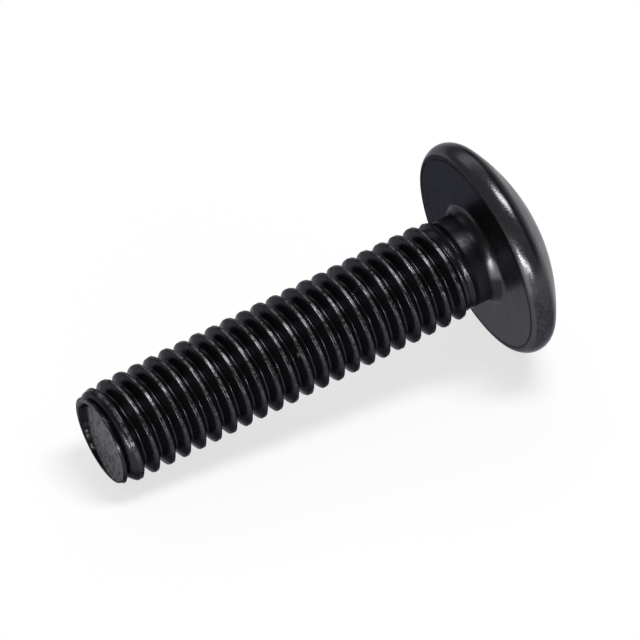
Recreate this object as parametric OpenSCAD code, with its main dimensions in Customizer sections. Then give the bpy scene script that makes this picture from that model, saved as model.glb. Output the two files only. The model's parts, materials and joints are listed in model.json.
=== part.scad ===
// Truss head machine screw with a cross recess, lying on its side as it comes to rest:
// on the head's rim and on a crest near the point, with its axis in the XZ plane.
// It is drawn upright first: bearing face at z = 0, head above, shank below.

/* [Thread] */
// Crest diameter of the rolled thread
major_d = 5.94; // [5.4:0.02:8]
// Distance from one crest to the next
pitch = 1; // [0.7:0.05:1.5]
// Angle of the helix about the axis, which says where each crest passes the underside
thread_turn = 248; // [0:1:359]
// Straight sides in one turn of the thread
thread_sides = 48; // [24:1:60]

/* [Shank] */
// From the bearing face under the head to the point
length = 24.6; // [12:0.1:34]
// Plain shank between the bearing face and the thread
neck_length = 1.4; // [1:0.05:6]
// Fillet between the neck and the bearing face
neck_fillet = 0.65; // [0.2:0.05:1]
// Length over which the thread rises out of the neck
runout_length = 1.3; // [0.3:0.05:3]

/* [Point] */
// Diameter of the end of the shank
point_d = 5.27; // [4.5:0.01:5.9]
// Length over which the crests grow to their full diameter
point_length = 1.2; // [1:0.05:3]
// Length over which the groove sinks in behind the lip of the end
lip_length = 0.6; // [0.3:0.05:1]
// Width of the raised lip round the cupped end
lip_width = 0.3; // [0.15:0.05:0.8]
// Depth of the cup that rolling leaves in the end
cup_depth = 0.35; // [0.1:0.05:1]
// Slope of the cup's side, from the axis
cup_angle = 58; // [20:1:75]

/* [Head] */
// Largest diameter of the head
head_d = 12.92; // [9:0.02:18]
// Height above the bearing face at which the rim's rounding is widest
rim_height = 0.77; // [0.5:0.01:0.88]
// Radius of the rim's rounding, from the bearing face to the dome
rim_radius = 0.94; // [0.9:0.01:1.2]
// Spherical radius of the dome
dome_radius = 10.8; // [10:0.1:30]
// Diameter of the flat that the punch leaves on the crown
crown_d = 5.5; // [2:0.1:6]

/* [Cross recess] */
// Diameter across the wings at the crown
recess_d = 6.4; // [4:0.05:8]
// Width of a wing
wing_width = 1.2; // [0.8:0.02:1.6]
// Rounding between two wings
wing_fillet = 1.1; // [0.4:0.05:1.2]
// Depth of the wings
wing_depth = 2.8; // [1:0.05:3]
// Slope of the wings' ends, from the axis
wing_angle = 26.5; // [5:0.5:35]
// Slope of the cone at the bottom, from the level
bottom_angle = 24; // [10:1:40]
// Turn of the recess about the axis
recess_turn = 8; // [0:1:89]

/* [Hidden] */
$fn = 96;
// How far a cut or a piece runs past the surface that it meets
overrun = 0.5;

// Thread section: 60 degree flanks, and a flat crest and root
flank_angle = 30;
crest_share = 1 / 8;
triangle_height = pitch / 2 / tan(flank_angle);
thread_depth = 17 / 24 * triangle_height;
flank_share = thread_depth * tan(flank_angle) / pitch;
crest_r = major_d / 2;
root_r = crest_r - thread_depth;
// The thread is rolled on a blank of the pitch diameter, which the neck keeps
neck_r = crest_r - 3 / 8 * triangle_height;
// Above the thread a straight seat, a little thinner than the neck, runs up into the neck
seat_step = 0.02;
seat_gap = 0.05;
seat_depth = 0.2;
seat_r = neck_r - seat_step;
seat_start = -neck_length - seat_gap;
seat_end = -neck_length + seat_depth;

// Head profile: the dome nearly touches the rim's rounding from outside, and is set lower by
// dome_step, so that the two cross
dome_step = 0.01;
head_r = head_d / 2;
rim_centre_r = head_r - rim_radius;
dome_reach = dome_radius - rim_radius;
dome_centre = rim_height - sqrt(dome_reach ^ 2 - rim_centre_r ^ 2) - dome_step;
crown_height = dome_centre + sqrt(dome_radius ^ 2 - (crown_d / 2) ^ 2);
// Radius at which the dome and the rounding lie closest
touch_r = dome_radius / dome_reach * rim_centre_r;

// Share of a pitch at which each of the section's four corners lies, crest first
CORNERS = [
    -crest_share / 2,
    crest_share / 2,
    crest_share / 2 + flank_share,
    1 - crest_share / 2 - flank_share
];
SECTION = [
    [0, crest_r],
    [CORNERS[1], crest_r],
    [CORNERS[2], root_r],
    [CORNERS[3], root_r],
    [1 - crest_share / 2, crest_r],
    [1, crest_r]
];

thread_bottom = -length;
thread_rows = 4 * (ceil((seat_start - thread_bottom) / pitch) + 3);
// Height of a crest's middle at angle 0, below the point
first_crest = thread_bottom - pitch * (1 + thread_turn / 360);

function clamp(v, low, high) = min(max(v, low), high);
function part_of(v) = v - floor(v);

// Radius that the point allows at a height
function point_limit(z) =
    point_d / 2 + (crest_r - point_d / 2) * max(0, z - thread_bottom) / point_length;

// Radius of the threaded surface at an angle and a height
function thread_radius(angle, z) =
    let (
        share = part_of((z - first_crest) / pitch - angle / 360),
        full = lookup(share, SECTION),
        rise = clamp((seat_start - z) / runout_length, 0, 1),
        sink = clamp((z - thread_bottom) / lip_length, 0, 1),
        risen = seat_r + (full - seat_r) * rise
    )
    min(point_d / 2 + (risen - point_d / 2) * sink, point_limit(z));

// Height of a corner of the helix, row by row up each side
function row_height(row, side) =
    first_crest + pitch * (floor(row / 4) + CORNERS[row % 4] + side / thread_sides);

function lowest_row(side) =
    max([for (row = [0 : thread_rows]) if (row_height(row, side) <= thread_bottom) row]);
function highest_row(side) =
    min([for (row = [0 : thread_rows]) if (row_height(row, side) >= seat_start) row]);

LOW = [for (side = [0 : thread_sides - 1]) lowest_row(side)];
HIGH = [for (side = [0 : thread_sides - 1]) highest_row(side)];

// A row past either end stands for the end's own corner, and a full turn is one pitch up
function corner(row, side) =
    let (
        s = side % thread_sides,
        r = side < thread_sides ? row : row + 4
    )
    s * (thread_rows + 1) + clamp(r, LOW[s], HIGH[s]);
function seat_corner(side) = thread_sides * (thread_rows + 1) + side % thread_sides;

function distinct(face) =
    face[0] != face[1] && face[1] != face[2] && face[0] != face[2];

function on_side(side, r, z) =
    let (angle = 360 * side / thread_sides)
    [r * cos(angle), r * sin(angle), z];

THREAD_POINTS = [
    for (side = [0 : thread_sides - 1])
    for (row = [0 : thread_rows])
    let (z = clamp(row_height(row, side), thread_bottom, seat_start))
    on_side(side, thread_radius(360 * side / thread_sides, z), z)
];
SEAT_POINTS = [for (side = [0 : thread_sides - 1]) on_side(side, seat_r, seat_end)];

THREAD_FACES = [
    for (side = [0 : thread_sides - 1])
    for (row = [0 : thread_rows - 1])
    let (
        a = corner(row, side),
        b = corner(row, side + 1),
        c = corner(row + 1, side + 1),
        d = corner(row + 1, side)
    )
    for (face = [[a, d, c], [a, c, b]])
    if (distinct(face)) face
];
SEAT_FACES = [
    for (side = [0 : thread_sides - 1])
    [
        corner(thread_rows, side),
        seat_corner(side),
        seat_corner(side + 1),
        corner(thread_rows, side + 1)
    ]
];
END_FACES = [
    [for (side = [0 : thread_sides - 1]) corner(0, side)],
    [for (side = [thread_sides - 1 : -1 : 0]) seat_corner(side)]
];

// The four wings with the roundings between them
module cross_outline() {
    core = wing_width + 2 * wing_fillet;
    reach = recess_d + 2 * overrun;
    square([reach, wing_width], center = true);
    square([wing_width, reach], center = true);
    difference() {
        square(core, center = true);
        for (x = [-core / 2, core / 2], y = [-core / 2, core / 2])
            translate([x, y]) circle(wing_fillet);
    }
}

// What the punch takes out: wings whose ends slope inwards, and a cone at the bottom
module recess_punch() {
    wing_bottom = crown_height - wing_depth;
    low_reach = recess_d / 2 - wing_depth * tan(wing_angle);
    cone_tip = wing_bottom - low_reach * tan(bottom_angle);
    top = crown_height + overrun;
    intersection() {
        rotate_extrude() polygon([
            [0, cone_tip],
            [low_reach, wing_bottom],
            [recess_d / 2 + overrun * tan(wing_angle), top],
            [0, top]
        ]);
        translate([0, 0, cone_tip - overrun])
            rotate([0, 0, recess_turn])
            linear_extrude(top - cone_tip + 2 * overrun) cross_outline();
    }
}

module head_profile() {
    intersection() {
        translate([0, dome_centre]) circle(dome_radius);
        union() {
            square([rim_centre_r, crown_height]);
            translate([0, rim_height]) square([touch_r, crown_height - rim_height]);
            intersection() {
                translate([rim_centre_r, rim_height]) circle(rim_radius);
                square([head_r + overrun, crown_height]);
            }
        }
    }
}

// Neck, with its fillet under the head
module neck_profile() {
    translate([0, -neck_length]) square([neck_r, neck_length + overrun]);
    difference() {
        translate([0, -neck_fillet]) square([neck_r + neck_fillet, neck_fillet + overrun]);
        translate([neck_r + neck_fillet, -neck_fillet]) circle(neck_fillet);
    }
}

module head_and_neck() {
    difference() {
        rotate_extrude() {
            head_profile();
            neck_profile();
        }
        recess_punch();
    }
}

module threaded_shank() {
    mouth_r = point_d / 2 - lip_width;
    floor_r = mouth_r - cup_depth * tan(cup_angle);
    difference() {
        polyhedron(
            concat(THREAD_POINTS, SEAT_POINTS),
            concat(THREAD_FACES, SEAT_FACES, END_FACES)
        );
        translate([0, 0, thread_bottom]) cylinder(h = cup_depth, r1 = mouth_r, r2 = floor_r);
    }
}

module upright_screw() {
    head_and_neck();
    threaded_shank();
}

// Tilt at which the rim's rounding and a crest of the given height and radius share one floor
function tilt_on(z, r) =
    let (
        across = rim_centre_r - r,
        along = rim_height - z
    )
    atan2(across, along) + asin(rim_radius / norm([across, along]));

// The crest that meets the floor first, of those that pass the underside near the point
UNDERSIDE = [
    for (turn = [0 : 5])
    for (edge = [-crest_share / 2, crest_share / 2])
    let (z = first_crest + pitch * (turn + edge))
    if (z > thread_bottom) tilt_on(z, thread_radius(0, z))
];
tilt = min(UNDERSIDE);

// Where the lying screw reaches, from the centre of its bearing face
reach_down = rim_radius + rim_centre_r * cos(tilt) - rim_height * sin(tilt);
reach_left = length * cos(tilt) + point_d / 2 * sin(tilt);
reach_right = tilt < asin(crown_d / 2 / dome_radius)
    ? crown_height * cos(tilt) + crown_d / 2 * sin(tilt)
    : dome_centre * cos(tilt) + dome_radius;

module machine_screw() {
    color("#26262a")
        translate([(reach_left - reach_right) / 2, 0, reach_down])
        rotate([0, 90 - tilt, 0])
        upright_screw();
}

machine_screw();
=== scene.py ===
"""Looks of a black truss head machine screw that lies on a pale floor.

The screw is one closed skin. It is worked out upright on its own axis, with the bearing face
under the head at z = 0, the head above and the shank below, and is then laid where the frame's
mounts put that axis. Angles about the axis count from the side that faces the floor.
"""

import json
import math

import bpy
import numpy as np
from mathutils import Matrix, Vector


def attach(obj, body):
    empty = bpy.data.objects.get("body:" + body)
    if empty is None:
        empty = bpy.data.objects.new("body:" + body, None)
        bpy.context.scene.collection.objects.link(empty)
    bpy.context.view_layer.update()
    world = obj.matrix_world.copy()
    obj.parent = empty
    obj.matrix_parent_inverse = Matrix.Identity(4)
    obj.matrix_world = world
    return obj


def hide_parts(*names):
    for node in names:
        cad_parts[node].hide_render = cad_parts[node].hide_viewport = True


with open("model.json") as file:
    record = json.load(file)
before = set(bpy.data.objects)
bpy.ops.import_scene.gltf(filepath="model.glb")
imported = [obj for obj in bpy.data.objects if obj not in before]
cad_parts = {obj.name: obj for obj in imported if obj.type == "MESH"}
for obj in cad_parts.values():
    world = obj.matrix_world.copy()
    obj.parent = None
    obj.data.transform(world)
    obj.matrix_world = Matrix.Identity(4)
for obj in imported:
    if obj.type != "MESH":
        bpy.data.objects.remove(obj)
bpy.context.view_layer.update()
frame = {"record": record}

bl_info = {
    "name": "Machine Screw",
    "version": (1, 0, 0),
    "blender": (4, 5, 0),
    "location": "3D View > Sidebar > Screw",
    "description": "Skin, finish and stage of a black machine screw",
    "category": "Object",
}

NODE = "machine_screw"
MM = 0.001

mounts = {mount["name"]: mount for mount in frame["record"]["mounts"]}
point_end = Vector(mounts["thread"]["pos_m"])
to_head = (Vector(mounts["drive_recess"]["pos_m"]) - point_end).normalized()


def length_value(name, description, default_mm):
    """A length in the sidebar, given in millimetres and held in metres."""
    return bpy.props.FloatProperty(
        name=name, description=description, default=default_mm * MM, unit="LENGTH", precision=5
    )


def share_value(name, description, default):
    """A plain number between 0 and 1."""
    return bpy.props.FloatProperty(
        name=name, description=description, default=default, min=0, max=1, subtype="FACTOR"
    )


def angle_value(name, description, degrees):
    """An angle in the sidebar, given in degrees and held in radians."""
    return bpy.props.FloatProperty(
        name=name, description=description, default=math.radians(degrees), subtype="ANGLE"
    )


def colour_value(name, description, default):
    """A linear colour."""
    return bpy.props.FloatVectorProperty(
        name=name, description=description, default=default, size=3, min=0, max=1, subtype="COLOR"
    )


class ShankSizes(bpy.types.PropertyGroup):
    """Sizes of the thread, the neck and the point."""

    length: length_value("Length", "Bearing face to the point", 24.6)
    crest_diameter: length_value("Crest diameter", "Outer diameter of the thread", 5.94)
    pitch: length_value("Pitch", "Distance from crest to crest", 1.0)
    turn: angle_value("Thread turn", "Where each crest passes the underside", 264)
    root_depth: length_value("Root depth", "Crest to root", 0.62)
    crest_flat: length_value("Crest width", "Width of a crest between its rounded edges", 0.17)
    crest_seam: length_value("Crest seam", "Depth of the seam that rolling leaves in a crest", 0.02)
    neck_diameter: length_value("Neck diameter", "Plain stretch under the head", 5.29)
    neck_length: length_value("Neck length", "Bearing face to the first run-out", 1.25)
    neck_fillet: length_value("Neck fillet", "Rounding between neck and bearing face", 0.65)
    runout: length_value("Run-out", "Length over which the thread rises out of the neck", 1.4)
    point_diameter: length_value("Point diameter", "Across the end of the shank", 5.27)
    point_length: length_value("Point length", "Length over which the crests grow", 1.2)
    lip_length: length_value("Lip length", "Length over which the groove sinks in", 0.16)
    lean: length_value("Lean", "How far the first groove is drawn towards the point", 0.26)
    lean_side: angle_value("Lean side", "Side on which it is drawn most, from the underside", 290)
    lean_length: length_value("Lean length", "How far from the point the shank is drawn", 1.3)
    lip_thin: length_value("Thin lip", "Narrowest width of the lip round the cup", 0.06)
    lip_thick: length_value("Thick lip", "Widest width of the lip round the cup", 0.32)
    lip_side: angle_value("Lip side", "Side on which the lip is thickest, from the underside", 145)
    cup_depth: length_value("Cup depth", "Depth of the cup on its deep side", 0.42)
    cup_rise: length_value("Cup rise", "Depth of the cup on its shallow side", 0.01)
    cup_side: angle_value("Cup side", "Side on which the cup is deepest, from the underside", 124)


class HeadSizes(bpy.types.PropertyGroup):
    """Sizes of the head and of its recess."""

    diameter: length_value("Diameter", "Largest diameter of the head", 12.94)
    rim_height: length_value("Rim height", "Height at which the rim's rounding is widest", 0.77)
    rim_radius: length_value("Rim radius", "Radius of the rim's rounding", 0.94)
    face_edge: length_value("Face edge", "Radius that softens the rim towards the bearing face", 0.25)
    inner_groove: length_value("Inner groove", "Radius of the turned groove near the neck", 3.95)
    outer_groove: length_value("Outer groove", "Radius of the turned groove near the rim", 4.95)
    groove_depth: length_value("Groove depth", "Depth of the turned grooves", 0.01)
    edge_groove: length_value("Edge groove", "Depth of the groove along the face's outer edge", 0.035)
    groove_width: length_value("Groove width", "Width of the turned grooves", 0.12)
    dome_radius: length_value("Dome radius", "Spherical radius of the dome", 10.8)
    crown_diameter: length_value("Crown", "Flat that the punch leaves", 5.5)
    recess_diameter: length_value("Recess", "Across the wings at the crown", 6.4)
    wing_width: length_value("Wing width", "Width of a wing", 1.2)
    wing_fillet: length_value("Wing fillet", "Rounding between two wings", 1.1)
    wing_depth: length_value("Wing depth", "Depth of the wings", 2.8)
    wing_angle: angle_value("Wing slope", "Slope of the wings' ends, from the axis", 26.5)
    bottom_angle: angle_value("Bottom slope", "Slope of the bottom, from the level", 24)
    recess_turn: angle_value("Recess turn", "Turn of the recess about the axis", 8)


class FinishValues(bpy.types.PropertyGroup):
    """Colours and gloss of the black oxide, and of the painted shade, sheen, highlights and glints laid
    on it.
    """

    oxide: colour_value("Oxide", "Head, where nothing else is named", (0.07, 0.07, 0.077))
    # Painted shade: the shank and the rim's lower side are darker than the head
    shank_shade_oxide: colour_value("Shank oxide", "Shank and lower rim", (0.028, 0.028, 0.032))
    # Painted shade on the far upper half of the bearing face and in a dark line along the rim's upper
    # side
    deep_shade_oxide: colour_value("Deep oxide", "Half the face and the rim's seam", (0.026, 0.026, 0.029))
    # Wear along the crests with painted sheen, and painted highlights on the fillet and the rim
    wear_and_sheen: colour_value("Worn", "Worn crests and polished places", (0.13, 0.13, 0.138))
    # Painted glints
    bright: colour_value("Bright", "Spots that are rubbed bright", (0.22, 0.22, 0.23))
    cut: colour_value("Cut", "Rough floor of the cup", (0.2, 0.2, 0.21))
    cut_low: colour_value("Cut low", "Pits in the cup's floor", (0.06, 0.06, 0.066))
    # Painted shade in the cup's wall, along the face's edge and under the thread
    shade: colour_value("Shade", "Cup's wall, face line and thread's underside", (0.012, 0.012, 0.013))
    satin: colour_value("Satin", "Dome", (0.1, 0.1, 0.11))
    satin_metal: share_value("Satin metal", "Share of the dome that reflects as metal does", 0.5)
    rust: colour_value("Rust", "Specks of rust", (0.13, 0.085, 0.04))
    gloss: share_value("Roughness", "Roughness of the clean oxide", 0.2)
    rubbed: share_value("Rubbed", "How much rougher the worn crests are", 0.2)
    edge: share_value("Edge", "Reflection at a grazing view, as a share of bare metal's", 0.5)
    # Painted shade: the far upper half of the face reflects less at a grazing view
    dull: share_value("Dull", "Share of the edge's reflection that half the face keeps", 0.75)
    # Painted shade: the thread reflects less underneath
    under: share_value("Under", "Share of the edge's reflection that the thread keeps underneath", 0.4)
    metal: share_value("Metal", "Share of the finish that reflects as metal does", 0.9)
    film: share_value("Film", "Strength of the oil film's reflection", 0.25)


class StageValues(bpy.types.PropertyGroup):
    """Camera, lamps and floor."""

    azimuth: angle_value("Azimuth", "Camera's direction round the screw", -30.12)
    elevation: angle_value("Elevation", "Camera's height above the horizon", 39.12)
    distance: length_value("Distance", "Camera to screw", 508.47)
    focal_length: bpy.props.FloatProperty(
        name="Focal length",
        description="Focal length in millimetres",
        default=510.8,
        subtype="DISTANCE_CAMERA",
    )
    aim_right: length_value("Aim right", "How far right of the box's middle the camera aims", 0.421)
    aim_up: length_value("Aim up", "How far above the aim's height the camera aims", -0.146)
    aim_height: length_value("Aim height", "Height that camera and lamps aim at", 6.0)
    floor_half: length_value("Floor half", "From the middle of the floor to its edge", 1500)
    floor_colour: colour_value("Floor", "Colour of the floor", (0.96, 0.96, 0.96))
    floor_white: share_value("Floor white", "How far the floor near the screw shows as white", 0.7)
    white_from: length_value("White from", "Distance from the middle where the floor turns white", 16)
    white_at: length_value("White at", "Distance from the middle where the floor is all white", 26)
    sky: share_value("Sky", "Strength of the soft light from all round", 0.22)


# Middle and radius of each speck of rust, in millimetres on the upright screw, where X points
# down to the floor, Y to the far side and Z to the crown
RUST_SPOTS = (
    ((-1.463, -2.387, -12.86), 0.15),
    ((-0.93, -2.56, -14.42), 0.15),
)
# Middle and radius of each painted glint, likewise
GLINT_SPOTS = (
    ((-1.34, -2.5, -24.25), 0.17),
    ((-1.25, -2.6, -23.77), 0.17),
)
# Each soft lamp: azimuth and elevation in degrees, distance, width and height in metres, and power
LAMPS = {
    "top_box": (60, 76, 0.5, 0.13, 0.27, 2.0),
    "front_strip": (-38, 2.4, 0.5, 0.4, 0.038, 2.0),
    "back_box": (170, 37, 0.5, 0.6, 0.2, 0.4),
}
# Roughness and gloss of the floor, and the camera's sensor in millimetres and reach in metres
FLOOR_ROUGHNESS = 0.9
FLOOR_GLOSS = 0.1
SENSOR_WIDTH = 36
CLIP_END = 10

# Corners in each row of the skin
COLUMNS = 160
# Distances from a crest's middle at which the rows of a turn lie, as shares of a pitch
ROW_PLACES = (0, 0.035, 0.07, 0.1, 0.13, 0.18, 0.22, 0.27, 0.36, 0.42)
# Values of the crest attribute: 1 on a crest, 0 elsewhere, and these on the lip and in the cup
# The lip's value gives it part of the crests' wear and painted sheen, and the wall's gives it painted
# shade
LIP_TOP = 0.8
CUP_WALL = -0.5
CUP_FLOOR = -1.0
# Smoothing and seed of each uneven line. The cup's floor has the next seeds too, one a row
LINES = {
    "front edge": (3, 11),
    "back edge": (3, 12),
    "whole crest": (60, 13),
    "nicks": (2, 14),
    "lip": (6, 21),
    "foot": (2, 22),
    "outer edge": (1, 23),
    "floor": (30, 30),
}

# How uneven the lip's width, the foot of the cup's wall, the floor and the outer edge are
LIP_RIPPLE = 0.02 * MM
FOOT_RIPPLE = 0.04 * MM
FLOOR_RIPPLE = 0.008 * MM
OUTER_RIPPLE = 0.012 * MM
# Least width of the lip, radius of its edges, and width of the cup's wall for a depth of 1
LEAST_LIP = 0.03 * MM
LIP_EDGE = 0.04 * MM
WALL_SLOPE = 0.6
# Depth of the cup beyond its shallow side at which the wall is all painted shade
DARK_DEPTH = 0.3 * MM
# Rows of the cup: shares of the way out over the floor, and of the way over the wall
FLOOR_ROWS = (0.12, 0.3, 0.5, 0.7, 0.85, 0.95)
WALL_ROWS = (0.05, 0.3, 0.6, 0.85)
# Rows of the lip's rounded edges: directions in degrees, where 0 points outwards and 90 to the
# end of the shank
INNER_EDGE = (165, 140, 115, 90)
OUTER_EDGE = (90, 65, 40, 15)

# Places along each stretch of the head's profile, with both ends
PLACES = {"neck": 6, "fillet": 11, "face": 9, "face edge": 7, "rim": 20, "dome": 22}
# A turned groove's rows: distance from its middle in half widths, and share of its depth
NOTCH = ((-1.5, 0.0), (-1.0, 0.0), (-0.4, 0.8), (0.0, 1.0), (0.4, 0.8), (1.0, 0.0), (1.5, 0.0))
# In half widths too, the clear stretch beside a groove's middle, and how far inside the face's
# edge the last groove lies
NOTCH_CLEAR = 1.8
NOTCH_INSET = 1.6

# How far the punch's flat is sunk below the edge of the crown, its slope along x and y, its
# rounding, and how far and to which side its edge lies off the axis
CROWN_SUNK = 0.018 * MM
CROWN_SLOPE = 0.012
CROWN_ROUNDING = 0.012 * MM
CROWN_OFF = 0.09 * MM
CROWN_SIDE = math.radians(-40)
# How far beyond the recess the dome's last full ring lies
DOME_MARGIN = 0.35 * MM
# Rows between that ring and the crown's edge: shares of the way out from the last of them, which
# lies the first distance from the crown's edge and at least the second from the mouth
DOME_SHARES = (0.65, 0.3, 0.0)
DOME_LAST = (0.05 * MM, 0.12 * MM)
# Rows on the crown: distance from its edge, least distance from the mouth, and lift
CROWN_ROWS = (
    (0.0, 0.09 * MM, 0.004 * MM),
    (-0.05 * MM, 0.06 * MM, 0.0),
    (-0.4 * MM, 0.045 * MM, 0.0),
)
# How evenly the columns of those rows are spaced, from 0, as the mouth's are, to 1
CROWN_EVENNESS = 0.4
# The raised edge round the mouth: distance from the mouth, and lift
BURR_ROWS = ((0.03 * MM, 0.018 * MM), (0.01 * MM, 0.012 * MM))
# Rows of the recess's walls in millimetres below the crown, for a recess as deep as the last
WALL_DEPTHS = (0.02, 0.12, 0.5, 1.0, 1.6, 2.2, 2.74, 2.8)
# Rows of the recess's bottom, as shares of its radius
BOTTOM_ROWS = (0.93, 0.8, 0.65, 0.45, 0.22)
# Steps in which the reach of the recess's mouth on the sloping crown is closed in on
REACH_STEPS = 8
# Least angle between the end of a wing and its rounding, in radians, and least sine to divide by
LEAST_SIDE = 0.02
LEAST_SINE = 1e-6

# Waves a millimetre, detail and roughness of each noise in the finish
NOISES = {
    "speckle": (9.0, 4.0, 0.65),
    "cloud": (0.9, 3.0, 0.5),
    "patches": (4.0, 4.0, 0.65),
    "grain": (3.5, 5.0, 0.75),
    "rings": (3.0, 4.0, 0.7),
}
# Parts of the finish, in millimetres on the upright screw, with R for the distance from the axis.
# Two bounds: none of it at the first and all of it from the second on. Four: all of it between
# the second and the third, and none beyond the first and the last
REGIONS = {
    "face": {"Z": (-0.08, -0.02, 0.02, 0.08)},
    # Painted shade: a dark line in the crease along the face's outer edge
    "face line": {"R": (5.76, 5.82, 5.9, 5.96)},
    # Painted shade on the rim's lower side, broken into blotches
    "lower rim": {"Z": (0.1, 0.2, 1.1, 1.4), "X": (-3.5, 0.5)},
    # Painted shade: a dark line along the rim's upper side
    "rim shade line": {"Z": (0.92, 1.02, 1.08, 1.2), "X": (-2.5, -4.0)},
    # Painted highlight along the rim's edge near the face
    "rim polish": {"Z": (0.02, 0.08, 0.15, 0.3), "Y": (-5.0, -5.5), "X": (-0.8, -1.8)},
    # Painted highlight on the fillet
    "fillet polish": {
        "Z": (-0.7, -0.5, -0.1, -0.02),
        "Y": (-2.0, -2.5),
        "X": (-1.7, -1.2, -0.6, 0.0),
    },
    # The shank takes a darker oxide, which is painted shade
    "shank": {"Z": (-0.02, -0.15)},
    "neck": {"Z": (-1.7, -1.4)},
    "thread": {"Z": (-1.0, -2.0)},
}
# Where the ramps of the finish start and end, and what they give there where it isn't 0 and 1
RAMPS = {
    # Painted shade on the far upper half of the bearing face
    "far and up": (-3.0, 3.0),
    "below fillet": (-0.5, -0.9, 0.5, 1.0),
    # Painted shade under the thread
    "underside": (0.0, 1.0, 0.0, 0.5),
    # Painted sheen: more wear shows on the crests' upper side
    "upper side": (0.3, -1.8, 0.2, 1.0),
    "blotches": (0.4, 0.6, 0.55, 1.0),
    "crest": (0.3, 0.9),
    "wear": (0.38, 0.6),
    "cup floor": (-0.7, -0.95),
    "cup": (-0.1, -0.4),
    "ragged": (0.3, 0.7, -0.06, 0.06),
    "pits": (0.35, 0.65),
    "cloud": (0.3, 0.7, -0.03, 0.05),
}
# The dome's finish starts at the first height above the rim's widest line, and is whole at the
# second, in millimetres
DOME_FINISH = (0.35, 0.7)
# Share of a spot's radius within which it is whole
SPOT_CORE = 0.6
# Stretch of the speckle over which the roughness goes from so much less to so much more
ROUGH_SPECKLE = (0.3, 0.7, -0.05, 0.1)
# How much rougher than the clean oxide these parts are
ROUGHER = {"cup floor": 0.2, "dome": 0.08, "face": 0.08, "neck": 0.14, "rust": 0.4}
# Strength, and depth in metres, of the relief that the speckle and the turning rings give
SPECKLE_RELIEF = (0.35, 0.00002)
RING_RELIEF = (0.05, 0.00003)
# Blue of the edge's reflection, as a share of its red and green
EDGE_BLUE = 1.08


def skin_angles(head):
    """Angle of each column: equal steps round the axis, counted from a wing of the recess."""
    return head.recess_turn + 2 * np.pi * np.arange(COLUMNS) / COLUMNS


def smooth_max(a, b, width):
    """The larger of two numbers, with the corner rounded: (a + b + sqrt((a - b)^2 + width^2)) / 2."""
    return (a + b + np.sqrt((a - b) ** 2 + width**2)) / 2


def smooth_min(a, b, width):
    """The smaller of two numbers, with the corner rounded."""
    return -smooth_max(-a, -b, width)


def eased(share):
    """A share that starts and ends level: 3 share^2 - 2 share^3."""
    return share * share * (3 - 2 * share)


def bell(distance, width):
    """1 at distance 0, falling off to both sides: exp(-(distance / width)^2)."""
    return np.exp(-((distance / width) ** 2))


def swing(angle, side):
    """1 on that side of the axis and 0 opposite: (1 + cos(angle - side)) / 2."""
    return 0.5 + 0.5 * np.cos(angle - side)


def uneven_line(count, name, extra=0):
    """A seeded random line of mean 0 and deviation 1, averaged over neighbours as often as LINES
    says."""
    smoothing, seed = LINES[name]
    line = np.random.default_rng(seed + extra).normal(size=count)
    for _ in range(smoothing):
        line = (np.roll(line, 1) + 2 * line + np.roll(line, -1)) / 4
    return (line - line.mean()) / line.std()


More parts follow.
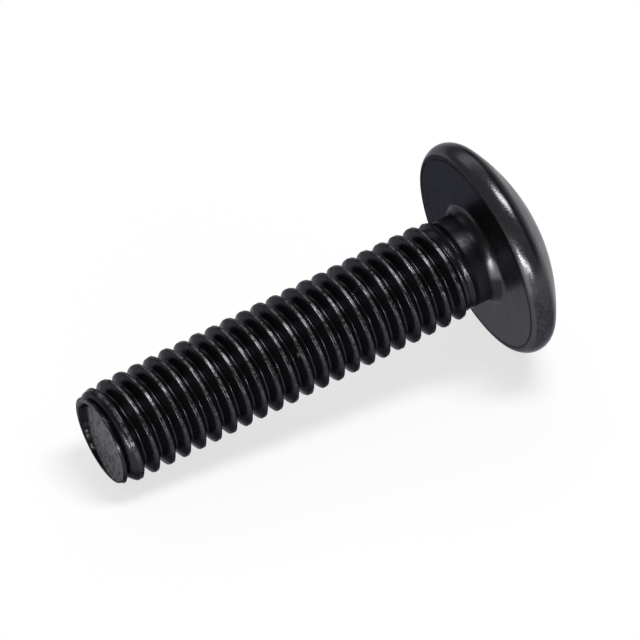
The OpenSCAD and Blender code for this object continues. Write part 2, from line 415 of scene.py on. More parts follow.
class Thread:
    """Radius of the threaded shank at any angle and height."""

    # Slope of the flanks from level, and how far above the crest they pass its edges
    flank_slope = math.radians(30)
    flank_lift = 0.03 * MM
    # Roundings between root and flank, and between flank and crest
    root_rounding = 0.06 * MM
    crest_rounding = 0.028 * MM
    # Width of the crest's seam, as a share of half the crest's
    seam_share = 0.45
    # Unevenness of the crest's edges and of the whole crest, and depth of a nick in its front edge
    edge_ripple = 0.006 * MM
    crest_ripple = 0.012 * MM
    nick_depth = 0.05 * MM
    # Height of the random line at which nicks start, and the most that one can go beyond it
    nick_start = 2.1
    nick_most = 2
    # Turns kept beyond those that the shank's length holds
    spare_turns = 4
    # Half the width of the crest's stretch of wear and painted sheen
    worn_half = 0.16 * MM
    # The point's cone: how far above the crests it ends, and its rounding
    cone_lift = 0.03 * MM
    cone_rounding = 0.01 * MM
    # Ridges beside the first crests: height, how many turns have them, and distance from the
    # crest's middle and width of the pair in the groove and of the lower one on the front flank
    ridge_height = 0.09 * MM
    ridge_turns = 1.6
    pair_away, pair_width = 0.36 * MM, 0.045 * MM
    single_away, single_width = -0.22 * MM, 0.04 * MM
    single_share = 0.7
    # Rings between the last crests: height, distance from the crest's middle, width, length of
    # the shank that has them, and length over which they rise
    ring_height = 0.32 * MM
    ring_away, ring_width = 0.5 * MM, 0.1 * MM
    ring_length = 1.9 * MM
    ring_rise = 0.5 * MM

    def __init__(self, shank):
        """Crest k passes angle 0 at the height first_crest + k * pitch."""
        self.shank = shank
        self.bottom = -shank.length
        self.top = -shank.neck_length
        self.crest_r = shank.crest_diameter / 2
        self.root_r = self.crest_r - shank.root_depth
        self.first_crest = self.bottom - shank.pitch * (1 + shank.turn / (2 * math.pi))
        self.turns = math.ceil((self.top - self.bottom) / shank.pitch) + self.spare_turns
        count = self.turns * COLUMNS
        self.front_line = uneven_line(count, "front edge")
        self.back_line = uneven_line(count, "back edge")
        self.crest_line = uneven_line(count, "whole crest")
        self.nicks = np.clip(uneven_line(count, "nicks") - self.nick_start, 0, self.nick_most)

    def section(self, away, spot):
        """Radius away from a crest's middle, along the axis: sloping flanks between a rounded root
        and a crest with two soft edges and a shallow seam. spot is the place along the helix,
        which gives each edge its own unevenness."""
        shank = self.shank
        half_flat = shank.crest_flat / 2
        edge = np.where(away < 0, self.front_line[spot], self.back_line[spot])
        crest = self.crest_r + self.edge_ripple * edge + self.crest_ripple * (self.crest_line[spot] - 1)
        crest = crest - self.nick_depth * self.nicks[spot] * (away < 0)
        flank = crest + self.flank_lift - (np.abs(away) - half_flat) / math.tan(self.flank_slope)
        seam = shank.crest_seam * bell(away, self.seam_share * half_flat)
        root = smooth_max(flank, self.root_r, self.root_rounding)
        return smooth_min(root, crest, self.crest_rounding) - seam

    def ridges(self, away, z):
        """Height of the ridges beside the first crests and of the rings between the last ones: a
        bell over the distance from the crest's middle, times how far that end of the shank has
        them."""
        first_turns = np.clip(self.ridge_turns - (z - self.bottom) / self.shank.pitch, 0, 1)
        last_turns = np.clip((z - self.top + self.ring_length) / self.ring_rise, 0, 1)
        ridge = bell(np.abs(away) - self.pair_away, self.pair_width)
        ridge = ridge + self.single_share * bell(away - self.single_away, self.single_width)
        rings = bell(np.abs(away) - self.ring_away, self.ring_width)
        return self.ridge_height * first_turns * ridge + self.ring_height * last_turns * rings

    def radius(self, angle, z):
        """The section with its ridges, sunk in behind the point's lip, held under the point's cone,
        and fading into the neck. Returns the radius and how near the crest the place is, from 0
        to 1."""
        shank = self.shank
        along = (z - self.first_crest) / shank.pitch - angle / (2 * np.pi)
        crest = np.round(along)
        away = (along - crest) * shank.pitch
        column = np.round((angle - angle.min()) / (2 * np.pi) * COLUMNS).astype(int) % COLUMNS
        spot = np.clip(crest, 0, self.turns - 1).astype(int) * COLUMNS + column
        full = self.section(away, spot) + self.ridges(away, z)
        neck_r = shank.neck_diameter / 2
        point_r = shank.point_diameter / 2
        rise = eased(np.clip((self.top - z) / shank.runout, 0, 1))
        sink = eased(np.clip((z - self.bottom) / shank.lip_length, 0, 1))
        risen = neck_r + (full - neck_r) * rise
        r = point_r + (risen - point_r) * sink
        cone_r = self.crest_r + self.cone_lift
        limit = point_r + (cone_r - point_r) * (z - self.bottom) / shank.point_length
        r = smooth_min(r, np.maximum(limit, point_r), self.cone_rounding)
        near_crest = np.clip(1 - np.abs(away) / self.worn_half, 0, 1) * rise * sink
        return r, near_crest


def helix_steps():
    """Shares of a pitch at which the rows of one turn lie, from the groove's middle up past a
    crest, closest at the crest's edges."""
    away = np.array(ROW_PLACES)
    return np.concatenate([[-0.5], -away[:0:-1], away])


def thread_rows(shank, head):
    """Corners and faces of the threaded stretch.

    Row j climbs one pitch a turn, z = z_j + pitch * angle / 2 pi, so its crest edges are unbroken
    lines. Rows that start below the point or end above the neck lie flat on those levels, where
    their corners fall together. A full turn joins a row to the row one pitch up. Last, the first
    groove is drawn towards the point by lean * swing * sin(pi * share of the lean length)^2.
    """
    thread = Thread(shank)
    steps = helix_steps()
    angle = skin_angles(head)
    crests = np.arange(thread.turns)
    starts = thread.first_crest + shank.pitch * (crests[:, None] + steps[None, :]).ravel()
    z = starts[:, None] + shank.pitch * angle[None, :] / (2 * np.pi)
    rows = len(starts)
    low = (z <= thread.bottom).sum(axis=0) - 1
    high = rows - (z >= thread.top).sum(axis=0)
    row = np.clip(np.arange(rows)[:, None], low[None, :], high[None, :])
    z = np.clip(z, thread.bottom, thread.top)
    radius, crest = thread.radius(np.broadcast_to(angle, z.shape), z)
    share = np.clip((z - thread.bottom) / shank.lean_length, 0, 1)
    z = z - shank.lean * swing(angle, shank.lean_side) * np.sin(np.pi * share) ** 2
    points = np.stack([radius * np.cos(angle), radius * np.sin(angle), z], axis=-1)
    corner = row * COLUMNS + np.arange(COLUMNS)
    over = np.clip(np.arange(rows) + len(steps), low[0], high[0]) * COLUMNS
    wrapped = np.concatenate([corner, over[:, None]], axis=1)
    a, b = wrapped[:-1, :-1], wrapped[:-1, 1:]
    c, d = wrapped[1:, 1:], wrapped[1:, :-1]
    faces = np.stack([np.stack([a, b, c], -1), np.stack([a, c, d], -1)], axis=2).reshape(-1, 3)
    whole = (faces[:, 0] != faces[:, 1]) & (faces[:, 1] != faces[:, 2]) & (faces[:, 0] != faces[:, 2])
    return points.reshape(-1, 3), crest.ravel(), faces[whole], corner[0], corner[-1]


def ring(radius, z, angle):
    """One row: a circle, or any outline given as a radius and a height per angle."""
    radius = np.broadcast_to(radius, angle.shape)
    z = np.broadcast_to(z, angle.shape)
    return np.stack([radius * np.cos(angle), radius * np.sin(angle), z], axis=-1)


def arc(centre_r, centre_z, radius, start, end, steps):
    """Radii and heights along an arc of the profile, from start to end in degrees, where 0 points
    outwards and 90 up."""
    t = np.radians(np.linspace(start, end, steps))
    return centre_r + radius * np.cos(t), centre_z + radius * np.sin(t)


def cup_levels(shank):
    """Depth of the cup at its middle, and how much it changes towards its deep side."""
    return (shank.cup_depth + shank.cup_rise) / 2, (shank.cup_depth - shank.cup_rise) / 2


def point_profile(shank, head):
    """Rows of the cupped end, from near the middle of the cup to the outer edge of the lip, and
    what part of the end each row is.

    The floor is a plane that rises from the cup's deep side to its shallow side, with a little
    unevenness. The wall climbs from it in a short soft curve to the lip, which is flat between two
    rounded edges. The lip's width goes once round the axis from thin to thick, by swing^2.
    """
    angle = skin_angles(head)
    point_r = shank.point_diameter / 2
    bottom = -shank.length
    thick = swing(angle, shank.lip_side)
    ripple = LIP_RIPPLE * uneven_line(COLUMNS, "lip")
    lip = shank.lip_thin + (shank.lip_thick - shank.lip_thin) * thick**2 + ripple * thick
    lip = np.maximum(lip, LEAST_LIP)
    middle, half = cup_levels(shank)
    depth = middle + half * np.cos(angle - shank.cup_side)
    foot = point_r - lip - WALL_SLOPE * depth + FOOT_RIPPLE * uneven_line(COLUMNS, "foot")
    wall = point_r - lip - foot
    # The deeper the wall, the more of it is painted shade
    steep = np.clip((depth - shank.cup_rise) / DARK_DEPTH, 0, 1)
    wall_value = CUP_FLOOR + (CUP_WALL - CUP_FLOOR) * steep
    rows = []
    for number, share in enumerate(FLOOR_ROWS):
        ripple = FLOOR_RIPPLE * share * uneven_line(COLUMNS, "floor", number)
        level = middle + (depth - middle) * share + ripple
        rows.append(ring(foot * share, bottom + level, angle))
    for share in WALL_ROWS:
        rows.append(ring(foot + wall * share, bottom + depth * (1 - eased(share)), angle))
    edge = np.minimum(lip / 2, LIP_EDGE)
    outer_r = point_r + OUTER_RIPPLE * uneven_line(COLUMNS, "outer edge")
    for turns, centre_r in ((INNER_EDGE, outer_r - lip + edge), (OUTER_EDGE, outer_r - edge)):
        for t in np.radians(turns):
            rows.append(ring(centre_r + edge * np.cos(t), bottom + edge * (1 - np.sin(t)), angle))
    values = [CUP_FLOOR] * len(FLOOR_ROWS) + [wall_value] * len(WALL_ROWS)
    values += [0.0] * (len(INNER_EDGE) - 1) + [LIP_TOP] * (len(OUTER_EDGE) + 1)
    return rows, values


def dome_centre(head):
    """Height of the centre of the dome's sphere, which touches the rim's rounding from outside."""
    across = head.diameter / 2 - head.rim_radius
    return head.rim_height - math.sqrt((head.dome_radius - head.rim_radius) ** 2 - across**2)


def dome_height(head, r):
    """Height of the dome's sphere at a radius from the axis."""
    return dome_centre(head) + np.sqrt(head.dome_radius**2 - r**2)


def direction(start, end):
    """Angle in degrees of the line between two places of the profile."""
    return math.degrees(math.atan2(end[1] - start[1], end[0] - start[0]))


def face_rows(inner_r, outer_r, head):
    """Radii and heights of the bearing face: flat, with shallow turned grooves, each one a notch of
    seven rows."""
    rows = [(r, 0.0) for r in np.linspace(inner_r, outer_r, PLACES["face"])[1:]]
    half = head.groove_width / 2
    grooves = [(r, head.groove_depth) for r in (head.inner_groove, head.outer_groove)]
    grooves.append((outer_r - NOTCH_INSET * half, head.edge_groove))
    for groove_r, deep in grooves:
        clear = NOTCH_CLEAR * half
        rows = [row for row in rows if abs(row[0] - groove_r) > clear or row[0] == outer_r]
        rows += [(groove_r + half * across, deep * share) for across, share in NOTCH]
    return sorted(rows)


def head_profile(shank, head):
    """Radii and heights from the neck to the edge of the dome: neck, fillet, bearing face, a small
    radius at the face's edge, and the rim's rounding up to where it touches the dome."""
    neck_r = shank.neck_diameter / 2
    fillet = shank.neck_fillet
    neck = [(neck_r, z) for z in np.linspace(-shank.neck_length, -fillet, PLACES["neck"])[1:]]
    bend = list(zip(*arc(neck_r + fillet, -fillet, fillet, 180, 90, PLACES["fillet"])))[1:]
    rim_r, edge = head.rim_radius, head.face_edge
    rim = (head.diameter / 2 - rim_r, head.rim_height)
    dome = (0.0, dome_centre(head))
    rise = edge - head.rim_height
    lower = (rim[0] + math.sqrt((rim_r - edge) ** 2 - rise**2), edge)
    face = face_rows(neck_r + fillet, lower[0], head)
    low_turn, dome_turn = direction(rim, lower), direction(dome, rim)
    low = list(zip(*arc(*lower, edge, -90, low_turn, PLACES["face edge"])))[1:]
    side = list(zip(*arc(*rim, rim_r, low_turn, dome_turn, PLACES["rim"])))[1:]
    return neck + bend + face + low + side


def crown_height(head, x, y):
    """Height of the top: the dome, cut by the punch's flat, which slopes a little."""
    flat = dome_height(head, head.crown_diameter / 2) - CROWN_SUNK + CROWN_SLOPE * (y - x)
    return smooth_min(dome_height(head, np.hypot(x, y)), flat, CROWN_ROUNDING)


def cross_outline(head, reach):
    """One row of the recess: the cross's outline, cut by a circle of radius reach.

    In each eighth the columns first cross the wing's end, then follow its side and last the
    rounding. The corner lies where the circle meets the side, or the rounding once the circle is
    smaller than that. Inside all roundings the row is a plain circle.
    """
    half = head.wing_width / 2
    fillet = head.wing_fillet
    core = half + fillet
    centre = core * math.sqrt(2)
    side_end = math.atan2(half, core)
    if reach > math.hypot(half, core):
        corner = math.asin(half / reach)
    else:
        cosine = (reach**2 + centre**2 - fillet**2) / (2 * reach * centre)
        corner = math.pi / 4 - math.acos(min(1.0, cosine))
    middle = max(side_end, corner + LEAST_SIDE)
    eighth = COLUMNS // 8
    end_steps = eighth // 4
    side_steps = end_steps + eighth // 4 + 1
    step = np.arange(eighth + 1)
    turn = np.interp(step, [0, end_steps, side_steps, eighth], [0, corner, middle, math.pi / 4])
    side = half / np.maximum(np.sin(turn), LEAST_SINE)
    lean = math.pi / 4 - turn
    inside = np.maximum(fillet**2 - (centre * np.sin(lean)) ** 2, 0)
    rounding = centre * np.cos(lean) - np.sqrt(inside)
    wall = np.where(turn < side_end, side, rounding)
    radius = np.minimum(wall, reach)
    quarter_turn = np.concatenate([turn, math.pi / 2 - turn[-2:0:-1]])
    quarter_radius = np.concatenate([radius, radius[-2:0:-1]])
    turns = np.concatenate([quarter_turn + q * math.pi / 2 for q in range(4)])
    return np.tile(quarter_radius, 4), turns + head.recess_turn


def crown_rows(head, mouth, turned):
    """Rows from the dome inwards over the edge of the crown and up to the recess's mouth.

    The crown's edge is a circle a little off the axis. Each row lies at a distance from it, but
    never too near the mouth, and its columns turn from even steps towards the mouth's own.
    """
    plain = skin_angles(head)
    edge_r = head.crown_diameter / 2 + CROWN_OFF * np.cos(plain - CROWN_SIDE)
    outer_r = head.recess_diameter / 2 + DOME_MARGIN
    last_r = np.maximum(edge_r + DOME_LAST[0], mouth + DOME_LAST[1])
    rows = [(last_r + (outer_r - last_r) * share, (1 + share) / 2, 0.0) for share in DOME_SHARES]
    for out, least, lift in CROWN_ROWS:
        rows.append((np.maximum(edge_r + out, mouth + least), CROWN_EVENNESS, lift))
    rows += [(mouth + out, 0.0, lift) for out, lift in BURR_ROWS]
    placed = []
    for radius, evenness, lift in rows:
        angle = turned + (plain - turned) * evenness
        x, y = radius * np.cos(angle), radius * np.sin(angle)
        placed.append(np.stack([x, y, crown_height(head, x, y) + lift], axis=-1))
    return placed


def recess_rows(head):
    """Rows from the dome inwards over the crown, down the recess's walls and to its bottom, and
    the height of the bottom's tip. The walls slope inwards, and the bottom is a flat cone."""
    top_r = head.recess_diameter / 2
    slope = math.tan(head.wing_angle)
    crown = float(dome_height(head, head.crown_diameter / 2))
    reach = top_r
    for _ in range(REACH_STEPS):
        reach = top_r - (crown - float(crown_height(head, reach, 0.0))) * slope
    mouth, turned = cross_outline(head, reach)
    placed = crown_rows(head, mouth, turned)
    mouth_z = crown_height(head, mouth * np.cos(turned), mouth * np.sin(turned))
    for depth in WALL_DEPTHS:
        level = crown - depth / WALL_DEPTHS[-1] * head.wing_depth
        outline, angle = cross_outline(head, top_r - (crown - level) * slope)
        under_mouth = mouth_z - min(depth, WALL_DEPTHS[1]) * MM
        placed.append(ring(outline, np.minimum(under_mouth, level), angle))
    low_reach = top_r - head.wing_depth * slope
    bottom = crown - head.wing_depth
    fall = math.tan(head.bottom_angle)
    for share in BOTTOM_ROWS:
        outline, angle = cross_outline(head, low_reach * share)
        placed.append(ring(outline, bottom - low_reach * (1 - share) * fall, angle))
    return placed, bottom - low_reach * fall


def screw_skin(shank, head):
    """The whole skin as corners, faces and a crest value per corner, from the cup's middle over the
    lip, the thread, the neck, the bearing face, the rim and the dome to the recess's bottom."""
    angle = skin_angles(head)
    corners, crest, faces, first, last = thread_rows(shank, head)
    corners = [corners]
    crest = [crest]
    faces = [faces]
    count = len(corners[0])

    def add_rows(rows, values):
        """Adds rows of corners, each with its value, and returns each row's numbers."""
        nonlocal count
        numbers = []
        for row, value in zip(rows, values):
            corners.append(row)
            crest.append(np.broadcast_to(value, len(row)))
            numbers.append(np.arange(count, count + len(row)))
            count += len(row)
        return numbers

    def join(numbers):
        """Two triangles between each four neighbours of consecutive rows."""
        for near, far in zip(numbers[:-1], numbers[1:]):
            near_next, far_next = np.roll(near, -1), np.roll(far, -1)
            faces.append(np.stack([near, near_next, far_next], axis=-1))
            faces.append(np.stack([near, far_next, far], axis=-1))

    cup = add_rows(*point_profile(shank, head))
    join(cup + [first])
    cup_z = -shank.length + cup_levels(shank)[0]
    cup_middle = add_rows([np.array([[0, 0, cup_z]])], [CUP_FLOOR])[0][0]
    faces.append(np.stack([np.full(COLUMNS, cup_middle), np.roll(cup[0], -1), cup[0]], axis=-1))

    outline = head_profile(shank, head)
    profile = [ring(r, z, angle) for r, z in outline]
    dome_end = head.recess_diameter / 2 + DOME_MARGIN
    dome_r = np.linspace(outline[-1][0], dome_end, PLACES["dome"])[1:]
    dome = [ring(r, dome_height(head, r), angle) for r in dome_r]
    recess, tip = recess_rows(head)
    above = profile + dome + recess
    over = add_rows(above, [0.0] * len(above))
    join([last] + over)
    bottom = add_rows([np.array([[0, 0, tip]])], [0.0])[0][0]
    faces.append(np.stack([over[-1], np.roll(over[-1], -1), np.full(COLUMNS, bottom)], axis=-1))
    return np.concatenate(corners), np.concatenate(faces), np.concatenate(crest)


def axis_matrix(shank):
    """Turns the upright screw so that +z runs along the frame's axis, and lays its bearing face
    one length from the point's end."""
    side = Vector((0, 1, 0))
    down = side.cross(to_head)
    origin = point_end + to_head * shank.length
    turn = Matrix((down, side, to_head)).transposed()
    return Matrix.Translation(origin) @ turn.to_4x4()


def drop_unused(corners, faces, values):
    """Keeps only the corners that a face uses."""
    used, renumbered = np.unique(faces, return_inverse=True)
    return corners[used], renumbered.reshape(faces.shape), values[used]


def skin_mesh(shank, head):
    """A mesh of the skin, laid in place, with the crest value as an attribute."""
    corners, faces, crest = drop_unused(*screw_skin(shank, head))
    place = np.array(axis_matrix(shank))
    corners = corners @ place[:3, :3].T + place[:3, 3]
    mesh = bpy.data.meshes.new("screw_skin")
    mesh.vertices.add(len(corners))
    mesh.vertices.foreach_set("co", corners.astype(np.float32).ravel())
    mesh.loops.add(faces.size)
    mesh.loops.foreach_set("vertex_index", faces.astype(np.int32).ravel())
    mesh.polygons.add(len(faces))
    mesh.polygons.foreach_set("loop_start", np.arange(0, faces.size, 3, dtype=np.int32))
    mesh.polygons.foreach_set("use_smooth", np.ones(len(faces), dtype=bool))
    mesh.update(calc_edges=True)
    mesh.attributes.new("crest", "FLOAT", "POINT").data.foreach_set("value", crest.astype(np.float32))
    mesh.validate()
    return mesh


class NodeSheet:
    """Adds shader nodes and links them."""

    def __init__(self, owner):
        """Starts with an empty sheet of a material or the world."""
        owner.use_nodes = True
        self.tree = owner.node_tree
        self.tree.nodes.clear()

    def add(self, kind, inputs=(), **settings):
        """A node of that kind. inputs maps socket names or numbers to values or output sockets."""
        node = self.tree.nodes.new(kind)
        for name, value in settings.items():
            setattr(node, name, value)
        for name, value in dict(inputs).items():
            if isinstance(value, bpy.types.NodeSocket):
                self.tree.links.new(value, node.inputs[name])
            else:
                node.inputs[name].default_value = value
        return node

    def noise(self, vector, name):
        """Noise between 0 and 1, with the waves, the detail and the roughness that NOISES gives."""
        scale, detail, roughness = NOISES[name]
        inputs = {"Vector": vector, "Scale": scale, "Detail": detail, "Roughness": roughness}
        return self.add("ShaderNodeTexNoise", inputs).outputs["Fac"]

    def ramp(self, value, low, high, to_low=0.0, to_high=1.0):
        """value from low to high, mapped smoothly to to_low to to_high and held there."""
        inputs = {"Value": value, "From Min": low, "From Max": high, "To Min": to_low, "To Max": to_high}
        node = self.add("ShaderNodeMapRange", inputs, interpolation_type="SMOOTHSTEP")
        return node.outputs["Result"]

    def math(self, operation, a, b=0.0):
        """One step of arithmetic."""
        return self.add("ShaderNodeMath", {0: a, 1: b}, operation=operation).outputs[0]

    def product(self, first, *others):
        """All of them multiplied."""
        for other in others:
            first = self.math("MULTIPLY", first, other)
        return first

    def within(self, value, bounds):
        """1 within the bounds and 0 outside, by the rule of REGIONS."""
        share = self.ramp(value, bounds[0], bounds[1])
        if len(bounds) == 4:
            share = self.product(share, self.ramp(value, bounds[3], bounds[2]))
        return share

    def relief(self, strength_depth, height, **inputs):
        """A normal that makes height show as relief of that strength and depth."""
        strength, depth = strength_depth
        values = {"Strength": strength, "Distance": depth, "Height": height, **inputs}
        return self.add("ShaderNodeBump", values).outputs["Normal"]

    def mix(self, share, a, b):
        """Colour a, or b where share is 1."""
        node = self.add("ShaderNodeMix", {0: share, 6: a, 7: b}, data_type="RGBA")
        return node.outputs[2]


def on_axis(sheet, shank):
    """Object coordinates turned back upright and in millimetres."""
    place = axis_matrix(shank)
    inputs = {
        "Vector": sheet.add("ShaderNodeTexCoord").outputs["Object"],
        "Location": place.translation,
        "Rotation": place.to_euler(),
        "Scale": (MM, MM, MM),
    }
    return sheet.add("ShaderNodeMapping", inputs, vector_type="TEXTURE").outputs["Vector"]


def spots(sheet, upright, uneven, places):
    """1 within the radius of any of the places, with a soft uneven edge, and 0 beyond."""
    share = 0.0
    for middle, radius in places:
        offset = sheet.add("ShaderNodeVectorMath", {0: upright, 1: middle}, operation="DISTANCE")
        ragged = sheet.math("ADD", offset.outputs["Value"], uneven)
        share = sheet.math("MAXIMUM", sheet.ramp(ragged, radius, radius * SPOT_CORE), share)
    return share


def rgba(colour):
    """A colour with full alpha."""
    return (*colour, 1.0)


def tint(share):
    """A share of bare metal's reflection, a little bluer than grey."""
    return rgba((share, share, share * EDGE_BLUE))


def upright_axes(sheet, upright):
    """X, Y and Z of the place on the upright screw, and R, its distance from the axis."""
    place = sheet.add("ShaderNodeSeparateXYZ", {0: upright}).outputs
    across = sheet.add("ShaderNodeCombineXYZ", {0: place["X"], 1: place["Y"]}).outputs[0]
    from_axis = sheet.add("ShaderNodeVectorMath", {0: across}, operation="LENGTH").outputs["Value"]
    return {"X": place["X"], "Y": place["Y"], "Z": place["Z"], "R": from_axis}


def finish_parts(sheet, upright, axes, speckle, head):
    """How much of each part of the finish a place has, from 0 to 1: the parts in REGIONS, each a
    product over its axes, and those that follow the crests, the cup, the noise or the spots."""
    parts = {}
    for name, region in REGIONS.items():
        parts[name] = sheet.product(*[sheet.within(axes[key], region[key]) for key in region])
    far_up = sheet.math("SUBTRACT", axes["Y"], axes["X"])
    # Painted shade on the far upper half of the bearing face
    parts["dull face"] = sheet.product(sheet.ramp(far_up, *RAMPS["far and up"]), parts["face"])
    parts["face line"] = sheet.product(parts["face line"], parts["face"])
    below_fillet = sheet.ramp(axes["Z"], *RAMPS["below fillet"])
    parts["neck"] = sheet.product(parts["neck"], below_fillet, parts["shank"])
    # Painted shade under the thread
    parts["under"] = sheet.product(sheet.ramp(axes["X"], *RAMPS["underside"]), parts["thread"])
    # Painted highlights on the fillet and the rim
    parts["polish"] = sheet.math("MAXIMUM", parts["fillet polish"], parts["rim polish"])

    patches = sheet.noise(upright, "patches")
    blotches = sheet.ramp(patches, *RAMPS["blotches"])
    # Painted shade on the rim's lower side, in blotches
    parts["lower rim"] = sheet.product(parts["lower rim"], blotches)
    crest = sheet.add("ShaderNodeAttribute", attribute_name="crest").outputs["Fac"]
    # Painted sheen: the crests' wear is lighter on their upper side
    upper_side = sheet.ramp(axes["X"], *RAMPS["upper side"])
    on_crest = sheet.ramp(crest, *RAMPS["crest"])
    parts["wear_and_sheen"] = sheet.product(on_crest, sheet.ramp(patches, *RAMPS["wear"]), upper_side)
    parts["cup floor"] = sheet.ramp(crest, *RAMPS["cup floor"])
    in_cup = sheet.ramp(crest, *RAMPS["cup"])
    parts["cup wall"] = sheet.math("SUBTRACT", in_cup, parts["cup floor"])
    parts["dome"] = sheet.ramp(axes["Z"], *(head.rim_height / MM + above for above in DOME_FINISH))
    ragged = sheet.ramp(speckle, *RAMPS["ragged"])
    # Painted glints
    parts["bright"] = spots(sheet, upright, ragged, GLINT_SPOTS)
    parts["rust"] = spots(sheet, upright, ragged, RUST_SPOTS)
    return parts


def oxide_colour(sheet, finish, parts, grain):
    """The head's oxide, with each later part laid over the ones before it, painted shade and highlights
    among them.
    """
    cut = sheet.mix(sheet.ramp(grain, *RAMPS["pits"]), rgba(finish.cut_low), rgba(finish.cut))
    layers = (
        (parts["dull face"], rgba(finish.deep_shade_oxide)),
        (parts["rim shade line"], rgba(finish.deep_shade_oxide)),
        (parts["lower rim"], rgba(finish.shank_shade_oxide)),
        (parts["face line"], rgba(finish.shade)),
        (parts["shank"], rgba(finish.shank_shade_oxide)),
        (parts["under"], rgba(finish.shade)),
        (sheet.math("MAXIMUM", parts["wear_and_sheen"], parts["polish"]), rgba(finish.wear_and_sheen)),
        (parts["cup floor"], cut),
        (parts["cup wall"], rgba(finish.shade)),
        (parts["dome"], rgba(finish.satin)),
        (parts["bright"], rgba(finish.bright)),
        (parts["rust"], rgba(finish.rust)),
    )
    colour = rgba(finish.oxide)
    for share, coat in layers:
        colour = sheet.mix(share, colour, coat)
    return colour


def oxide_roughness(sheet, finish, parts, speckle, cloud):
    """The clean oxide's roughness, speckled and clouded, and more on the parts in ROUGHER and on
    the worn crests."""
    low, high, less, more = ROUGH_SPECKLE
    rough = sheet.ramp(speckle, low, high, finish.gloss + less, finish.gloss + more)
    rough = sheet.math("ADD", rough, sheet.ramp(cloud, *RAMPS["cloud"]))
    for name, amount in {**ROUGHER, "wear_and_sheen": finish.rubbed}.items():
        rough = sheet.math("ADD", rough, sheet.product(parts[name], amount))
    return rough


def edge_tint(sheet, finish, parts):
    """Reflection at a grazing view: a share of bare metal's, and less of it as painted shade on one
    half of the bearing face and under the thread."""
    face = sheet.mix(parts["dull face"], tint(finish.edge), tint(finish.edge * finish.dull))
    return sheet.mix(parts["under"], face, tint(finish.edge * finish.under))


def black_oxide(finish, shank, head):
    """Black oxide with an oil film: nearly black, satin and finely speckled. It has turning rings on the
    bearing face and a dark line of painted shade along its edge, painted shade on half the face, on the
    rim, the shank, under the thread and in the cup's wall, grey wear along the crests with painted
    sheen, painted highlights on the fillet and the rim, a rough floor in the cup, a few painted glints
    and two specks of rust."""
    material = bpy.data.materials.new("black_oxide")
    sheet = NodeSheet(material)
    upright = on_axis(sheet, shank)
    axes = upright_axes(sheet, upright)
    speckle = sheet.noise(upright, "speckle")
    parts = finish_parts(sheet, upright, axes, speckle, head)
    ring_place = sheet.add("ShaderNodeCombineXYZ", {0: axes["R"], 1: axes["Z"]}).outputs[0]
    rings = sheet.product(sheet.noise(ring_place, "rings"), parts["face"])
    inputs = {
        "Base Color": oxide_colour(sheet, finish, parts, sheet.noise(upright, "grain")),
        "Metallic": sheet.ramp(parts["dome"], 0.0, 1.0, finish.metal, finish.satin_metal),
        "Roughness": oxide_roughness(sheet, finish, parts, speckle, sheet.noise(upright, "cloud")),
        "Normal": sheet.relief(RING_RELIEF, rings, Normal=sheet.relief(SPECKLE_RELIEF, speckle)),
        "Specular Tint": edge_tint(sheet, finish, parts),
        "Specular IOR Level": finish.film,
    }
    shader = sheet.add("ShaderNodeBsdfPrincipled", inputs)
    sheet.add("ShaderNodeOutputMaterial", {"Surface": shader.outputs[0]})
    return material


def pale_floor(stage):
    """Matt floor that takes the shadow. The camera and anything glossy see it partly as plain
    white, which keeps the shadow pale, and wholly so away from the screw."""
    material = bpy.data.materials.new("pale_floor")
    sheet = NodeSheet(material)
    inputs = {
        "Base Color": rgba(stage.floor_colour),
        "Roughness": FLOOR_ROUGHNESS,
        "Specular IOR Level": FLOOR_GLOSS,
    }
    matt = sheet.add("ShaderNodeBsdfPrincipled", inputs)
    white = sheet.add("ShaderNodeEmission", {"Color": (1, 1, 1, 1), "Strength": 1.0})
    place = sheet.add("ShaderNodeTexCoord").outputs["Object"]
    away = sheet.add("ShaderNodeVectorMath", {0: place}, operation="LENGTH").outputs["Value"]
    whiteness = sheet.ramp(away, stage.white_from, stage.white_at, stage.floor_white, 1.0)
    share = sheet.math("MULTIPLY", seen_directly(sheet), whiteness)
    mixed = sheet.add("ShaderNodeMixShader", {0: share, 1: matt.outputs[0], 2: white.outputs[0]})
    sheet.add("ShaderNodeOutputMaterial", {"Surface": mixed.outputs[0]})
    return material


def seen_directly(sheet):
    """1 where the camera, a glossy surface or a clear one looks, and 0 for the light that falls on
    the screw."""
    path = sheet.add("ShaderNodeLightPath")
    seen = sheet.math("MAXIMUM", path.outputs["Is Camera Ray"], path.outputs["Is Glossy Ray"])
    return sheet.math("MAXIMUM", seen, path.outputs["Is Transmission Ray"])


def add_object(name, data):
    """Links new data to the scene as an object at the origin."""
    thing = bpy.data.objects.new(name, data)
    bpy.context.scene.collection.objects.link(thing)
    return thing


def soft_lamp(name, aim, azimuth, elevation, distance, width, height, power):
    """A soft box at that direction and distance from aim, in degrees and metres, facing it."""
    lamp = bpy.data.lights.new(name, "AREA")
    lamp.shape = "RECTANGLE"
    lamp.size = width
    lamp.size_y = height
    lamp.energy = power
    a, e = math.radians(azimuth), math.radians(elevation)
    towards = Vector((math.sin(a) * math.cos(e), -math.cos(a) * math.cos(e), math.sin(e)))
    turn = towards.to_track_quat("Z", "Y").to_matrix().to_4x4()
    add_object(name, lamp).matrix_world = Matrix.Translation(aim + towards * distance) @ turn


def studio_world(strength):
    """Even soft light from all round."""
    world = bpy.data.worlds.new("studio")
    bpy.context.scene.world = world
    sheet = NodeSheet(world)
    back = sheet.add("ShaderNodeBackground", {"Color": (1, 1, 1, 1), "Strength": strength})
    sheet.add("ShaderNodeOutputWorld", {"Surface": back.outputs[0]})


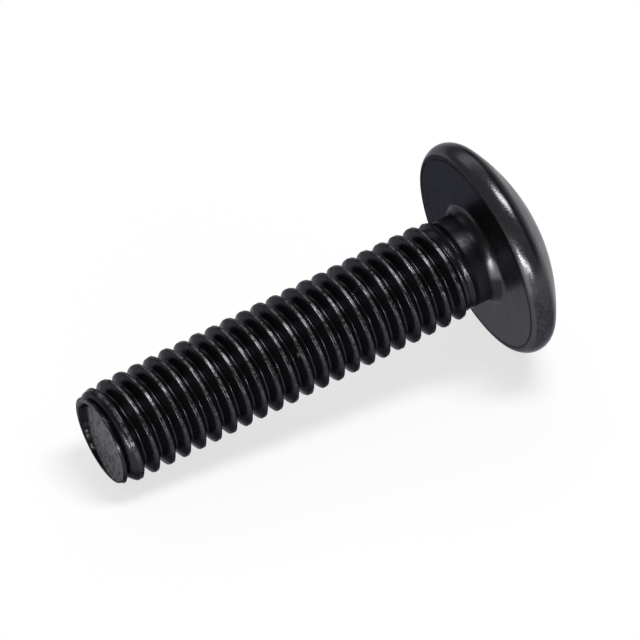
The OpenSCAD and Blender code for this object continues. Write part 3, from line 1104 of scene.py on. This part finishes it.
def place_camera(stage):
    """A long lens at the stage's direction and distance, level, aimed just off the box's middle."""
    camera = bpy.data.cameras.new("camera")
    camera.lens = stage.focal_length
    camera.sensor_width = SENSOR_WIDTH
    camera.clip_end = CLIP_END
    a, e = stage.azimuth, stage.elevation
    ahead = Vector((-math.sin(a) * math.cos(e), math.cos(a) * math.cos(e), -math.sin(e)))
    right = Vector((math.cos(a), math.sin(a), 0))
    up = right.cross(ahead)
    aim = Vector((0, 0, stage.aim_height)) + right * stage.aim_right + up * stage.aim_up
    thing = add_object("camera", camera)
    turn = Matrix((right, up, -ahead)).transposed()
    thing.matrix_world = Matrix.Translation(aim - ahead * stage.distance) @ turn.to_4x4()
    bpy.context.scene.camera = thing


class SCREW_OT_make_skin(bpy.types.Operator):
    """Make the screw's skin, finish it and let it stand for the frame's solid"""

    bl_idname = "screw.make_skin"
    bl_label = "Make skin"

    def execute(self, context):
        scene = context.scene
        skin = add_object("screw_skin", skin_mesh(scene.screw_shank, scene.screw_head))
        skin.data.materials.append(black_oxide(scene.screw_finish, scene.screw_shank, scene.screw_head))
        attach(skin, "root")
        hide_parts(NODE)
        return {"FINISHED"}


class SCREW_OT_make_stage(bpy.types.Operator):
    """Make the floor, the lamps, the world and the camera"""

    bl_idname = "screw.make_stage"
    bl_label = "Make stage"

    def execute(self, context):
        scene = context.scene
        stage = scene.screw_stage
        scene.view_settings.view_transform = "Standard"
        half = stage.floor_half
        plane = bpy.data.meshes.new("floor")
        corners = [(-half, -half, 0), (half, -half, 0), (half, half, 0), (-half, half, 0)]
        plane.from_pydata(corners, [], [(0, 1, 2, 3)])
        floor = add_object("floor", plane)
        plane.materials.append(pale_floor(stage))
        studio_world(stage.sky)
        middle = Vector((0, 0, stage.aim_height))
        for name, values in LAMPS.items():
            soft_lamp(name, middle, *values)
        place_camera(stage)
        return {"FINISHED"}


class SCREW_PT_panel(bpy.types.Panel):
    """Lists the screw's operators and values"""

    bl_label = "Machine screw"
    bl_idname = "SCREW_PT_panel"
    bl_space_type = "VIEW_3D"
    bl_region_type = "UI"
    bl_category = "Screw"

    def draw(self, context):
        for operator in OPERATORS:
            self.layout.operator(operator.bl_idname)
        for name, group in GROUPS.items():
            box = self.layout.box()
            values = getattr(context.scene, name)
            for key in group.__annotations__:
                box.prop(values, key)


GROUPS = {
    "screw_shank": ShankSizes,
    "screw_head": HeadSizes,
    "screw_finish": FinishValues,
    "screw_stage": StageValues,
}
OPERATORS = (SCREW_OT_make_skin, SCREW_OT_make_stage)
CLASSES = (*GROUPS.values(), *OPERATORS, SCREW_PT_panel)


def register():
    """Registers the classes and gives every scene their values."""
    for each in CLASSES:
        bpy.utils.register_class(each)
    for name, group in GROUPS.items():
        setattr(bpy.types.Scene, name, bpy.props.PointerProperty(type=group))


def unregister():
    """Takes the values and the classes away again."""
    for name in GROUPS:
        delattr(bpy.types.Scene, name)
    for each in reversed(CLASSES):
        bpy.utils.unregister_class(each)


def main():
    """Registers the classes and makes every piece."""
    register()
    bpy.ops.screw.make_skin()
    bpy.ops.screw.make_stage()


if __name__ == "__main__":
    main()
